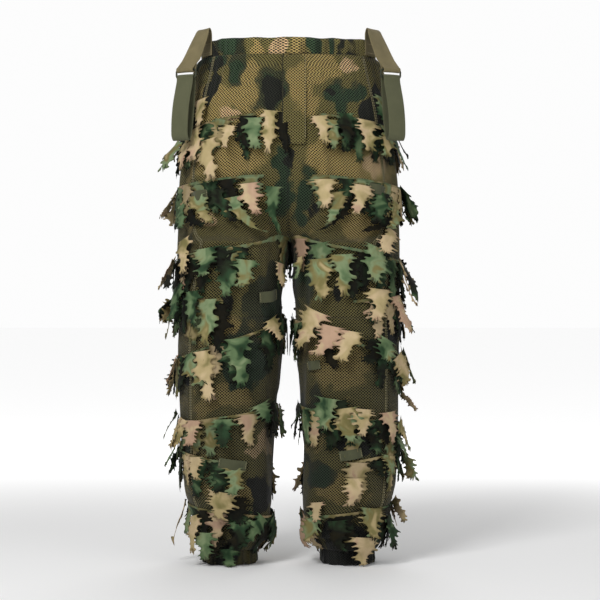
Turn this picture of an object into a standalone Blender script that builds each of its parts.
"""Leafy ghillie over-trousers, built as an assembly of separate pieces.

+Z is up, -Y is the wearer's front, +X is the wearer's left. The origin is on
the ground plane under the middle of the two hems. Units are metres.

Each half of the trousers is one surface: a leg tube that opens, above the
crotch, into half of the seat. It is cut into front, side and back panels, and
again across at the hip crease and at the knee, where the garment bends.

A place on a half is given by its height and its share of the way round: from
the inseam or the middle of the front (0), by the front and the outer side
(0.5), to the inseam or the middle of the back (1).
"""

import math

import bmesh
import bpy
from mathutils import Matrix, Vector

# ---------------------------------------------------------------- dimensions
SIDES = (("L", 1), ("R", -1))   # tag and sign of x
WAIST_TOP = 1.048          # top edge of the waistband
WAIST_BOTTOM = 1.014       # seam under the waistband
WAIST_MIDDLE = (WAIST_TOP + WAIST_BOTTOM) / 2
HEM_TOP = 0.030            # seam above the hem casing
HEM_BOTTOM = 0.0           # bottom fold of the hem casing
CROTCH = 0.655             # lowest point of the seat seam
RISE = 0.105               # height over which a leg opens into the seat
FABRIC = 0.0015            # thickness of the netting with its backing
WEBBING = 0.0016           # thickness of the webbing and of the tab cloth
HIP_AXIS = (0.0, 0.800)    # y, z of the hip bend
HIP_R = 0.200              # radius of the crease round the hip axis
KNEE_AXIS = (0.030, 0.455)
KNEE_R = 0.150
FLAP_X = (-0.012, 0.034)   # free edge and stitched edge of the fly flap
FLAP_Z = (0.835, 1.010)
Y_SHIFT = -0.01005         # puts the middle of the whole object over the origin

# Tailor's table of a leg, from the hem up: height, inner edge x, outer edge x,
# half depth.
LEG = (
    (0.000, 0.070, 0.168, 0.052),
    (0.020, 0.067, 0.174, 0.057),
    (0.040, 0.058, 0.186, 0.068),
    (0.070, 0.040, 0.196, 0.081),
    (0.110, 0.031, 0.204, 0.091),
    (0.150, 0.029, 0.212, 0.097),
    (0.210, 0.028, 0.218, 0.101),
    (0.290, 0.024, 0.220, 0.104),
    (0.370, 0.019, 0.2215, 0.107),
    (0.450, 0.0125, 0.2245, 0.112),
    (0.530, 0.0095, 0.227, 0.118),
    (0.600, 0.0060, 0.228, 0.124),
    (0.655, 0.0030, 0.229, 0.129),
    (0.800, 0.0030, 0.229, 0.135),
)
LEG_SQUARENESS = 2.25      # superellipse exponent of a leg's outline; 2 is an ellipse
# And of the seat: height, half width, half depth, shift towards the back.
SEAT = (
    (0.600, 0.228, 0.132, 0.004),
    (0.700, 0.229, 0.139, 0.008),
    (0.780, 0.229, 0.141, 0.010),
    (0.850, 0.219, 0.137, 0.009),
    (0.900, 0.208, 0.130, 0.006),
    (0.950, 0.195, 0.121, 0.003),
    (1.000, 0.180, 0.112, 0.000),
    (1.048, 0.168, 0.106, 0.000),
)
SEAT_SQUARENESS = 2.35


# --------------------------------------------------------- the cloth's surface
def table(rows, z):
    """Values of a table at height z, by a smooth curve through its rows."""
    if z <= rows[0][0]:
        return rows[0][1:]
    if z >= rows[-1][0]:
        return rows[-1][1:]
    k = max(i for i in range(len(rows) - 1) if rows[i][0] <= z)
    low, high = rows[k], rows[k + 1]
    before, after = rows[max(k - 1, 0)], rows[min(k + 2, len(rows) - 1)]
    step = high[0] - low[0]
    t = (z - low[0]) / step
    values = []
    for i in range(1, len(low)):
        slope_low = (high[i] - before[i]) / (high[0] - before[0]) * step
        slope_high = (after[i] - low[i]) / (after[0] - low[0]) * step
        values.append(
            (2 * t**3 - 3 * t**2 + 1) * low[i]
            + (t**3 - 2 * t**2 + t) * slope_low
            + (-2 * t**3 + 3 * t**2) * high[i]
            + (t**3 - t**2) * slope_high
        )
    return values


def smooth(t):
    t = min(max(t, 0.0), 1.0)
    return t * t * (3 - 2 * t)


def superellipse(angle, squareness):
    """Point of a rounded outline of half width 1 and half depth 1."""

    def power(value):
        return math.copysign(abs(value) ** (2 / squareness), value)

    return power(math.cos(angle)), power(math.sin(angle))


def leg_section(share, z):
    """Point of a leg's closed outline, from the inseam by the front and back to it."""
    inner, outer, depth = table(LEG, z)
    x, y = superellipse(-math.pi + 2 * math.pi * share, LEG_SQUARENESS)
    return (inner + outer) / 2 + (outer - inner) / 2 * x, depth * y


def seat_section(share, z):
    """Point of half of the seat's outline, from the middle of the front to that of the back."""
    half, depth, back = table(SEAT, z)
    x, y = superellipse(-math.pi / 2 + math.pi * share, SEAT_SQUARENESS)
    return half * x, back + depth * y


def opened(z):
    """0 on a leg, 1 on the seat. A quarter circle, which rounds the bottom of the seat seam."""
    t = min(max((z - CROTCH) / RISE, 0.0), 1.0)
    return math.sqrt(1 - (1 - t) ** 2)


def plan_point(share, z):
    """Point of the left half in plan, before the shift in y."""
    weight = opened(z)
    leg_x, leg_y = leg_section(share, z) if weight < 1 else (0, 0)
    seat_x, seat_y = seat_section(share, z) if weight > 0 else (0, 0)
    return Vector((
        leg_x * (1 - weight) + seat_x * weight,
        leg_y * (1 - weight) + seat_y * weight,
    ))


def surface(share, z, out=0.0):
    """Point of the left half's cloth, moved out by a distance along the outline's normal."""
    point = plan_point(share, z)
    if out:
        reach = 0.004   # share to each side over which the tangent is taken
        if reach < share < 1 - reach:
            ahead = plan_point(min(share + reach, 1.0), z)
            tangent = (ahead - plan_point(max(share - reach, 0.0), z)).normalized()
        elif opened(z) > 0:
            tangent = Vector((1, 0)) if share < 0.5 else Vector((-1, 0))
        else:
            tangent = Vector((0, -1))
        point = point + Vector((tangent.y, -tangent.x)) * out
    return Vector((point.x, point.y + Y_SHIFT, z))


def front_y(z):
    """y of the cloth at the middle of the front."""
    return surface(0.0, z).y


# ------------------------------------------------------------------- scene
for old in list(bpy.data.objects):
    bpy.data.objects.remove(old, do_unlink=True)

parts = bpy.data.collections.new("ghillie_trousers")
bpy.context.scene.collection.children.link(parts)
cutters = bpy.data.collections.new("cutters")
cutters.hide_render = True
bpy.context.scene.collection.children.link(cutters)


def material(name, colour, roughness):
    mat = bpy.data.materials.new(name)
    mat.use_nodes = True
    shader = mat.node_tree.nodes["Principled BSDF"]
    shader.inputs["Base Color"].default_value = (*colour, 1)
    shader.inputs["Roughness"].default_value = roughness
    mat.diffuse_color = (*colour, 1)
    return mat


NETTING = material("camouflage_netting", colour=(0.105, 0.090, 0.040), roughness=0.9)
SIDE_NETTING = material("side_netting", colour=(0.060, 0.062, 0.030), roughness=0.9)
LEAF = material("leaf_cloth", colour=(0.300, 0.240, 0.140), roughness=0.75)
TAB = material("tab_cloth", colour=(0.210, 0.185, 0.105), roughness=0.85)
OLIVE = material("olive_webbing", colour=(0.105, 0.110, 0.062), roughness=0.8)
ELASTIC = material("elastic", colour=(0.030, 0.030, 0.028), roughness=0.85)
PLASTIC = material("ring_plastic", colour=(0.040, 0.042, 0.026), roughness=0.5)
ZIP_CLOTH = material("zip_tape", colour=(0.050, 0.052, 0.032), roughness=0.85)
ZIP_BLACK = material("zip_black", colour=(0.012, 0.012, 0.011), roughness=0.4)


# ---------------------------------------------------------- ways of building
def add(name, mesh, mat, matrix=None):
    piece = bpy.data.objects.new(name, mesh)
    mesh.materials.append(mat)
    parts.objects.link(piece)
    if matrix:
        piece.matrix_world = matrix
    return piece


def finish(name, shape, mat, matrix=None):
    """Turn a bmesh into an object."""
    mesh = bpy.data.meshes.new(name)
    shape.to_mesh(mesh)
    shape.free()
    return add(name, mesh, mat, matrix)


def thicken(piece, thick, offset):
    solid = piece.modifiers.new("thickness", "SOLIDIFY")
    solid.thickness = thick
    solid.offset = offset


def sheet(name, rows, mat, thick, offset, loop=False, side=1, matrix=None):
    """A cloth piece: an open grid of points made thick. side -1 makes the wearer's right piece."""
    shape = bmesh.new()
    verts = [[shape.verts.new((p.x * side, p.y, p.z)) for p in row] for row in rows]
    count = len(rows[0])
    for j in range(len(rows) - 1):
        for i in range(count if loop else count - 1):
            k = (i + 1) % count
            face = [verts[j][i], verts[j][k], verts[j + 1][k], verts[j + 1][i]]
            shape.faces.new(face if side > 0 else face[::-1])
    piece = finish(name, shape, mat, matrix)
    piece.data.shade_smooth()
    thicken(piece, thick, offset)
    return piece


def plate(name, outline, thick, matrix, mat):
    """A flat outline of (x, y) points given a thickness about the matrix's plane."""
    shape = bmesh.new()
    shape.faces.new([shape.verts.new((x, y, 0)) for x, y in outline])
    shape.normal_update()
    bmesh.ops.triangulate(shape, faces=shape.faces)
    piece = finish(name, shape, mat, matrix)
    thicken(piece, thick, 0)
    return piece


def closed_wire(name, points, radius, resolution, matrix, mat):
    """A round wire along a closed line of (x, y, z) points, kept as a mesh."""
    curve = bpy.data.curves.new(f"{name}_wire", "CURVE")
    curve.dimensions = "3D"
    curve.bevel_depth = radius
    curve.bevel_resolution = resolution
    spline = curve.splines.new("POLY")
    spline.points.add(len(points) - 1)
    for spline_point, point in zip(spline.points, points):
        spline_point.co = (*point, 1)
    spline.use_cyclic_u = True
    wire = bpy.data.objects.new(f"{name}_wire", curve)
    wire.matrix_world = matrix
    parts.objects.link(wire)
    bpy.context.view_layer.update()
    evaluated = wire.evaluated_get(bpy.context.evaluated_depsgraph_get())
    mesh = bpy.data.meshes.new_from_object(evaluated)
    bpy.data.objects.remove(wire)
    mesh.materials.clear()
    mesh.shade_smooth()
    add(name, mesh, mat, matrix)


def frame(axes, origin):
    """Matrix with the given local X, Y and Z axes and origin."""
    matrix = Matrix(axes).transposed().to_4x4()
    matrix.translation = origin
    return matrix


# ------------------------------------------------------------------- panels
CREASE_GAP = 0.003         # slack between the panels at a crease
SEAM = 0.0006              # half of the gap between two panels at a seam
CASING_GAP = 0.0015        # between a panel and the waistband or hem casing
FLY_GAP = 0.0035           # half of the opening behind the fly flap
FLY_TAPER = 0.04           # height over which the fly opens
COLUMNS = {"front": 8, "side": 6, "back": 8}


def side_seam(z):
    """Share at the front edge of the side panel, which widens towards the waist."""
    return 0.375 - 0.075 * smooth((z - 0.42) / 0.42)


def panel_share(part, z, i, count, inset=0.0):
    """Share at column i of count across the front, side or back panel at height z."""
    seam = side_seam(z)
    low, high = {"front": (0.0, seam), "side": (seam, 1 - seam), "back": (1 - seam, 1.0)}[part]
    low, high = low + inset, high - inset
    return low + (high - low) * i / count


def crease(axis, radius):
    """Height of a crease as a function of y: the underside of a circle round the axis."""

    def height(y):
        return axis[1] - math.sqrt(max(radius**2 - (y - Y_SHIFT - axis[0]) ** 2, 0.0))

    return height


def edge_height(edge, part, i):
    """Height of a panel's edge at column i. The edge is a height, or a crease."""
    if not callable(edge):
        return edge
    z = edge(0.1)
    # y on the cloth depends on the height sought, so it is found by repetition
    for _ in range(12):
        z = edge(surface(panel_share(part, z, i, COLUMNS[part]), z).y)
    return z


def panel(name, part, low, high, rows, side):
    """One panel between two edges."""
    columns = COLUMNS[part]
    points = []
    for j in range(rows + 1):
        t = j / rows
        row = []
        for i in range(columns + 1):
            z = edge_height(low, part, i) * (1 - t) + edge_height(high, part, i) * t
            # rough length round the half, which turns the seam's gap into a share
            girth = 0.34 + 0.34 * (1 - opened(z)) if z > 0.1 else 0.45
            point = surface(panel_share(part, z, i, columns, SEAM / girth), z)
            # the middle edges stay off the centre plane, and stand apart where the fly opens
            opening = 0.0
            if part == "front" and i == 0:
                opening = FLY_GAP * smooth((z - FLAP_Z[0]) / FLY_TAPER)
            point.x = max(point.x, SEAM + opening)
            row.append(point)
        points.append(row)
    mat = SIDE_NETTING if part == "side" else NETTING
    sheet(name, points, mat, FABRIC, -1, side=side)


# zone, lower edge, upper edge, rows of faces
ZONES = (
    ("hip", crease(HIP_AXIS, HIP_R), WAIST_BOTTOM - CASING_GAP, 6),
    ("thigh", crease(KNEE_AXIS, KNEE_R), crease(HIP_AXIS, HIP_R + CREASE_GAP), 4),
    ("shin", HEM_TOP + CASING_GAP, crease(KNEE_AXIS, KNEE_R + CREASE_GAP), 5),
)
for tag, side in SIDES:
    for part in COLUMNS:
        for zone, low, high, rows in ZONES:
            panel(f"{zone}_{part}_{tag}", part, low, high, rows, side)


# --------------------------------------------------- waistband and hem casings
CASING_OUT = 0.0030        # half of a casing's thickness
CASING_WALL = 0.0012
ELASTIC_OUT = 0.0010       # half of an elastic's thickness
WAIST_ELASTIC_Z = (1.0175, 1.0440)
HEM_ELASTIC_Z = (0.0045, 0.0265)
HEM_PLAN_Z = 0.006         # height whose plan the whole hem casing shares
WAIST_SEGMENTS, HEM_SEGMENTS = 26, 18


def band(name, outline, segments, section, mat):
    """A closed band: the section's (out, height) corners carried round outline(share, out, z)."""
    shape = bmesh.new()
    loops = [
        [shape.verts.new(outline(k / segments, out, z)) for out, z in section]
        for k in range(segments)
    ]
    for k in range(segments):
        here, ahead = loops[k], loops[(k + 1) % segments]
        for i in range(len(section)):
            j = (i + 1) % len(section)
            shape.faces.new((here[i], ahead[i], ahead[j], here[j]))
    bmesh.ops.recalc_face_normals(shape, faces=shape.faces)
    finish(name, shape, mat)


def waist_outline(share, out, z):
    """Round the whole waist from the middle of the front, on the plan of the band's middle."""
    half = share * 2 if share * 2 <= 1 else 2 - share * 2
    point = surface(half, WAIST_MIDDLE, out)
    return Vector((point.x if share * 2 <= 1 else -point.x, point.y, z))


def hem_outline(side):
    def outline(share, out, z):
        point = surface(share, HEM_PLAN_Z, out)
        return Vector((point.x * side, point.y, z))

    return outline


def casing_section(edge, fold):
    """Two walls, open at the height of the edge and joined at the height of the fold."""
    out, inside = CASING_OUT, CASING_OUT - CASING_WALL
    ceiling = fold - math.copysign(CASING_WALL, fold - edge)
    return [
        (-out, edge), (-out, fold), (out, fold), (out, edge),
        (inside, edge), (inside, ceiling), (-inside, ceiling), (-inside, edge),
    ]


def elastic_section(bottom, top):
    out = ELASTIC_OUT
    return [(-out, bottom), (out, bottom), (out, top), (-out, top)]


waist_casing = casing_section(edge=WAIST_BOTTOM, fold=WAIST_TOP)
band("waistband", waist_outline, WAIST_SEGMENTS, waist_casing, NETTING)
waist_core = elastic_section(*WAIST_ELASTIC_Z)
band("waist_elastic", waist_outline, WAIST_SEGMENTS, waist_core, ELASTIC)
hem_casing = casing_section(edge=HEM_TOP, fold=HEM_BOTTOM)
hem_core = elastic_section(*HEM_ELASTIC_Z)
for tag, side in SIDES:
    band(f"hem_casing_{tag}", hem_outline(side), HEM_SEGMENTS, hem_casing, NETTING)
    band(f"hem_elastic_{tag}", hem_outline(side), HEM_SEGMENTS, hem_core, ELASTIC)


# --------------------------------------------------------------- leaf strips
LEAF_SHEET = 0.0010        # thickness of the leaf cloth
LEAF_MIDDLE_GAP = 0.0022   # least distance of a strip from the centre plane
NOTCH_SHARE = 0.58         # depth of the strip at a notch between leaves, of its drop
ROUND = (0.0, 1.0)         # span of a strip that closes round the leg
# A strip is sewn along its top edge. tilt raises its outer side, drop is its
# depth, flare is how far its tips stand out beyond its lift off the cloth.
# name, top, tilt, span of shares, drop, flare, lift
LEAF_STRIPS = (
    ("hip_upper", 0.880, -0.014, (0.060, 0.975), 0.058, 0.008, 0.0035),
    ("hip_lower", 0.763, -0.010, (0.030, 0.970), 0.050, 0.006, 0.0030),
    ("thigh_upper", 0.578, 0.014, ROUND, 0.050, 0.011, 0.0035),
    ("thigh_middle", 0.512, 0.004, ROUND, 0.032, 0.008, 0.0035),
    ("knee", 0.458, -0.026, ROUND, 0.052, 0.012, 0.0035),
    ("shin_upper", 0.290, -0.014, ROUND, 0.058, 0.012, 0.0035),
    ("shin_middle", 0.205, 0.014, ROUND, 0.058, 0.012, 0.0035),
    ("shin_lower", 0.100, 0.012, ROUND, 0.060, 0.016, 0.0035),
)


def leaf_strip(name, top, tilt, span, drop, flare, lift, side):
    """A row of leaves cut in one strip of cloth."""
    loop = span == ROUND
    columns = []
    for part, count in COLUMNS.items():
        stop = count + 1 if part == "back" and not loop else count
        columns += [(part, i, count) for i in range(stop)]

    upper, lower = [], []
    for k, (part, i, count) in enumerate(columns):
        z = top
        # the column's share and its height depend on each other
        for _ in range(6):
            share = min(max(panel_share(part, z, i, count), span[0]), span[1])
            z = top + tilt * math.cos(2 * math.pi * (share - 0.5))
        upper.append(surface(share, z, lift))
        fall = drop if k % 2 else drop * NOTCH_SHARE
        lower.append(surface(share, z - fall, lift + flare * (fall / drop)))
    for point in upper + lower:
        point.x = max(point.x, LEAF_MIDDLE_GAP)
    sheet(name, [lower, upper], LEAF, LEAF_SHEET, 1, loop=loop, side=side)


for tag, side in SIDES:
    for name, *sizes in LEAF_STRIPS:
        leaf_strip(f"leaf_strip_{name}_{tag}", *sizes, side)


# ------------------------------------------------------------- foliage loops
LOOP_LIFT = 0.0008         # off the cloth at the ends
LOOP_BULGE = 0.0018        # further off in the middle
# name, share, height, half width, half height, rise of the end nearer the back
FOLIAGE_LOOPS = (
    ("hip", 0.360, 0.797, 0.018, 0.0100, 0.003),
    ("thigh", 0.140, 0.545, 0.021, 0.0100, 0.004),
    ("shin", 0.250, 0.225, 0.020, 0.0095, 0.003),
)


def foliage_loop(name, share, z, half_width, half_height, tilt, side):
    """A short length of webbing sewn at its two ends, bulging off the cloth between them."""
    girth = 0.68 if z < CROTCH else 0.46
    rows = []
    for j in (-1, 1):
        row = []
        for i in range(7):
            t = i / 6 * 2 - 1
            out = LOOP_LIFT + LOOP_BULGE * (1 - t * t)
            height = z + j * half_height + t * tilt
            row.append(surface(share + t * half_width / girth, height, out))
        rows.append(row)
    sheet(name, rows, OLIVE, WEBBING, 1, side=side)


for tag, side in SIDES:
    for name, *sizes in FOLIAGE_LOOPS:
        foliage_loop(f"foliage_loop_{name}_{tag}", *sizes, side)


# ------------------------------------------------------------- hanging straps
WEBBING_W = 0.038
STRAP_TURN = math.radians(56)   # how far the strap's foot faces outwards from the front
HANG_TURN = math.radians(28)    # how far its ring and webbing do, below the tab's twist
RING_WIRE = 0.0019              # radius of the ring's wire
RING_HALF_W = 0.0225
RING_H = 0.015
RING_CORNER = 0.0035
RING_TOP = (0.0535, 0.9860)     # out and height of the ring's upper bar, in the strap's plane
RING_LOW = (0.0, RING_TOP[1] - RING_H)  # its lower bar, in the plane of the ring
STRAP_FOLD = (0.0052, 1.0490)   # where the strap leaves the waistband
TAB_CURL = 0.0038               # radius of the tab's middle line round its bar
CURL = 0.0034                   # radius of the webbing's middle line round a bar

# The tab from its foot on the waistband, up over the edge and down to the ring:
# out, height, twist in degrees.
TAB_RUN = (
    (0.0052, 1.0210, 0.0), (0.0052, 1.0480, 0.0), (0.0064, 1.0610, 0.0),
    (0.0110, 1.0705, 2.0), (0.0180, 1.0665, 6.0), (0.0245, 1.0520, 11.0),
    (0.0320, 1.0360, 16.0), (0.0400, 1.0190, 21.0), (0.0470, 1.0050, 25.0),
    (0.0515, 0.9970, 27.5),
)
# The webbing from the ring's body side, down and up again to its outer side: out, height.
LOOP_RUN = [
    (-0.0035, 0.950), (-0.0020, 0.925), (0.0020, 0.895), (0.0070, 0.868), (0.0130, 0.852),
    (0.0195, 0.846), (0.0250, 0.856), (0.0240, 0.890), (0.0190, 0.920), (0.0090, 0.950),
]


def arc(centre, radius, start, stop, count):
    """Points of an arc between two angles in degrees."""
    angles = [math.radians(start + (stop - start) * k / count) for k in range(count + 1)]
    return [(centre[0] + radius * math.cos(a), centre[1] + radius * math.sin(a)) for a in angles]


def ribbon(name, path, twist, matrix, mat, closed=False):
    """Webbing that follows (x, y) points in the matrix's plane, turned about the upright."""
    rows = [
        [
            Vector((x + w * math.sin(turn), y, w * math.cos(turn)))
            for (x, y), turn in zip(path, twist)
        ]
        for w in (-WEBBING_W / 2, WEBBING_W / 2)
    ]
    piece = sheet(name, rows, mat, WEBBING, 0, loop=closed, matrix=matrix)
    piece.modifiers["thickness"].use_even_offset = True


def outward(side, turn):
    return Vector((math.sin(turn) * side, -math.cos(turn), 0))


def facing_frame(side, turn, origin):
    """Local X points out from the body, local Y up, local Z across the webbing."""
    out, up = outward(side, turn), Vector((0, 0, 1))
    return frame((out, up, out.cross(up)), origin)


def strap_frame(side):
    """Frame of the tab, at the place where the waistband faces the same way."""
    out = outward(1, STRAP_TURN)
    waist = [surface(k / 400, WAIST_MIDDLE) for k in range(201)]
    foot = max(waist, key=lambda point: point.x * out.x + point.y * out.y)
    return facing_frame(side, STRAP_TURN, (foot.x * side, foot.y, 0))


def hang_frame(side):
    """Frame of the ring and the webbing, at the ring and facing further to the front."""
    return facing_frame(side, HANG_TURN, strap_frame(side) @ Vector((RING_TOP[0], 0, 0)))


def strap_tab(tag, side):
    curl = arc(RING_TOP, TAB_CURL, 60, -225, 10)
    path = [(out, z) for out, z, _ in TAB_RUN] + curl
    twist = [math.radians(-side * turn) for *_, turn in TAB_RUN]
    twist += [-side * (STRAP_TURN - HANG_TURN)] * len(curl)
    ribbon(f"strap_tab_{tag}", path, twist, strap_frame(side), TAB)


def strap_loop(tag, side):
    path = arc(RING_LOW, CURL, 0, 180, 6) + LOOP_RUN
    twist = [0.0] * len(path)
    ribbon(f"strap_loop_{tag}", path, twist, hang_frame(side), OLIVE, closed=True)


def strap_ring(tag, side):
    """A rounded rectangle of wire standing across the strap."""
    across = RING_HALF_W - RING_CORNER
    high, low = RING_TOP[1] - RING_CORNER, RING_LOW[1] + RING_CORNER
    outline = []
    for centre, start in (
        ((across, high), 0), ((-across, high), 90), ((-across, low), 180), ((across, low), 270),
    ):
        outline += arc(centre, RING_CORNER, start, start + 90, 2)
    points = [(0.0, height, w) for w, height in outline]
    closed_wire(f"strap_ring_{tag}", points, RING_WIRE, 2, hang_frame(side), PLASTIC)


for tag, side in SIDES:
    strap_tab(tag, side)
    strap_loop(tag, side)
    strap_ring(tag, side)


# ------------------------------------------------------------- the front fly
ZIP_TOP_Z, ZIP_BOTTOM_Z = 1.004, 0.842
ZIP_BEHIND = 0.0085        # from the cloth's outer face back to the zip
TAPE_W, TAPE_THICK = 0.0130, 0.0010
TAPE_GAP = 0.0010          # half of the gap between the tapes
SLIDER_AT = 0.045          # share of the way down the zip
SLIDER_HALF_W = 0.0045
SLIDER_LENGTH = 0.0110
SLIDER_FACE = 0.0021       # from the zip's plane to a plate's outer face
SLIDER_INSIDE = 0.0009     # and to its inner face
SLIDER_NECK = 0.0006       # half width of the neck between the plates
BRIDGE_THICK = 0.0016
PULL_WIRE = 0.00045        # radius of the pull's wire
PULL_OUT = 0.0029          # how far in front of the zip the pull lies
FLAP_OUT = 0.0022          # from the cloth to the flap
FLAP_HINGE_OUT = 0.0030    # from the cloth to the line the flap turns on

# The zip lies in a straight line just behind the cloth.
ZIP_TOP = Vector((0, front_y(ZIP_TOP_Z) + ZIP_BEHIND, ZIP_TOP_Z))
ZIP_BOTTOM = Vector((0, front_y(ZIP_BOTTOM_Z) + ZIP_BEHIND, ZIP_BOTTOM_Z))
ZIP_UP = (ZIP_TOP - ZIP_BOTTOM).normalized()
ZIP_FRONT = Vector((1, 0, 0)).cross(ZIP_UP).normalized()

# Bridge: distance in front of the zip, height.
BRIDGE = (
    (0.0017, -0.0030), (0.0046, -0.0030), (0.0046, 0.0030), (0.0017, 0.0030),
    (0.0017, 0.0020), (0.0036, 0.0020), (0.0036, -0.0020), (0.0017, -0.0020),
)
# Pull: across, height from the bridge.
PULL = (
    (-0.0026, 0.0), (0.0026, 0.0), (0.0034, -0.0020), (0.0034, -0.0170),
    (0.0016, -0.0190), (-0.0016, -0.0190), (-0.0034, -0.0170), (-0.0034, -0.0020),
)


def zip_frame(share):
    """Local X to the wearer's right, local Y to the front, local Z up along the zip."""
    return frame((Vector((-1, 0, 0)), ZIP_FRONT, ZIP_UP), ZIP_TOP.lerp(ZIP_BOTTOM, share))


def zip_tape(tag, side):
    shape = bmesh.new()
    bmesh.ops.create_cube(shape, size=1.0)
    size = (TAPE_W, TAPE_THICK, (ZIP_BOTTOM - ZIP_TOP).length)
    bmesh.ops.scale(shape, vec=size, verts=shape.verts)
    aside = Matrix.Translation((-side * (TAPE_GAP + TAPE_W / 2), 0, 0))
    finish(f"zip_tape_{tag}", shape, ZIP_CLOTH, zip_frame(0.5) @ aside)


def zip_bridge():
    """The staple on the slider's front that holds the pull; a helper joined to the slider."""
    # its x is towards the front and its y up the zip
    stand = Matrix(((0, 0, 1, 0), (1, 0, 0, 0), (0, 1, 0, 0), (0, 0, 0, 1)))
    bridge = plate("zip_bridge", BRIDGE, BRIDGE_THICK, zip_frame(SLIDER_AT) @ stand, ZIP_BLACK)
    parts.objects.unlink(bridge)
    cutters.objects.link(bridge)
    bridge.hide_render = True
    bridge.display_type = "WIRE"
    return bridge


def zip_slider():
    """A front and a back plate joined by a neck between the tapes, with a bridge in front."""
    wide, neck = SLIDER_HALF_W, SLIDER_NECK
    face, inside = SLIDER_FACE, SLIDER_INSIDE
    outline = [
        (-wide, face), (wide, face), (wide, inside), (neck, inside),
        (neck, -inside), (wide, -inside), (wide, -face), (-wide, -face),
        (-wide, -inside), (-neck, -inside), (-neck, inside), (-wide, inside),
    ]
    slider = plate("zip_slider", outline, SLIDER_LENGTH, zip_frame(SLIDER_AT), ZIP_BLACK)
    join = slider.modifiers.new("bridge", "BOOLEAN")
    join.operation = "UNION"
    join.object = zip_bridge()


def zip_pull():
    """One closed wire through the bridge."""
    points = [(x, PULL_OUT, height) for x, height in PULL]
    closed_wire("zip_pull", points, PULL_WIRE, 1, zip_frame(SLIDER_AT), ZIP_BLACK)


def fly_flap():
    """The flap that covers the zip, stitched along one edge."""
    rows = []
    for j in range(6):
        z = FLAP_Z[0] + (FLAP_Z[1] - FLAP_Z[0]) * j / 5
        y = front_y(z) - FLAP_OUT
        rows.append([
            Vector((FLAP_X[0] + (FLAP_X[1] - FLAP_X[0]) * i / 3, y, z)) for i in range(4)
        ])
    sheet("fly_flap", rows, NETTING, FABRIC, 1)


for tag, side in SIDES:
    zip_tape(tag, side)
zip_slider()
zip_pull()
fly_flap()


# ------------------------------------------------------------- moving pieces
LEG_PIVOT_X = 0.12
pivot_places = {}          # place of each pivot in the world, by name


def pivot(name, place, members, parent=None):
    """An empty on a joint's axis, with the pieces that turn or slide on it."""
    empty = bpy.data.objects.new(name, None)
    empty.empty_display_size = 0.03
    parts.objects.link(empty)
    place = Vector(place)
    pivot_places[name] = place
    if parent:
        empty.parent = parent
        empty.location = place - pivot_places[parent.name]
    else:
        empty.location = place
    for member in members:
        piece = bpy.data.objects[member]
        piece.parent = empty
        piece.matrix_parent_inverse = Matrix.Translation(-place)
    return empty


def leg_pivots(tag, side):
    def place(axis):
        return (LEG_PIVOT_X * side, axis[0] + Y_SHIFT, axis[1])

    thigh = [f"thigh_{part}" for part in COLUMNS]
    thigh += ["leaf_strip_thigh_upper", "leaf_strip_thigh_middle", "leaf_strip_knee"]
    thigh += ["foliage_loop_thigh"]
    shin = [f"shin_{part}" for part in COLUMNS]
    shin += ["leaf_strip_shin_upper", "leaf_strip_shin_middle", "leaf_strip_shin_lower"]
    shin += ["foliage_loop_shin", "hem_casing", "hem_elastic"]
    hip = pivot(f"hip_pivot_{tag}", place(HIP_AXIS), [f"{name}_{tag}" for name in thigh])
    pivot(f"knee_pivot_{tag}", place(KNEE_AXIS), [f"{name}_{tag}" for name in shin], hip)


def strap_pivots(tag, side):
    """The tab turns at its fold, the ring in the tab, and the webbing on the ring."""
    fold = strap_frame(side) @ Vector((*STRAP_FOLD, 0))
    tab = pivot(f"strap_pivot_{tag}", fold, [f"strap_tab_{tag}"])
    hang = hang_frame(side)
    upper_bar, lower_bar = (hang @ Vector((0, bar[1], 0)) for bar in (RING_TOP, RING_LOW))
    ring = pivot(f"ring_pivot_{tag}", upper_bar, [f"strap_ring_{tag}"], tab)
    pivot(f"loop_pivot_{tag}", lower_bar, [f"strap_loop_{tag}"], ring)


def fly_pivots():
    flap_middle = (FLAP_Z[0] + FLAP_Z[1]) / 2
    hinge = (FLAP_X[1], front_y(flap_middle) - FLAP_HINGE_OUT, flap_middle)
    pivot("flap_pivot", hinge, ["fly_flap"])
    slider = zip_frame(SLIDER_AT)
    travel = pivot("slider_travel", slider.translation, ["zip_slider"])
    pivot("pull_pivot", slider @ Vector((0, PULL_OUT, 0)), ["zip_pull"], travel)


for tag, side in SIDES:
    leg_pivots(tag, side)
    strap_pivots(tag, side)
fly_pivots()
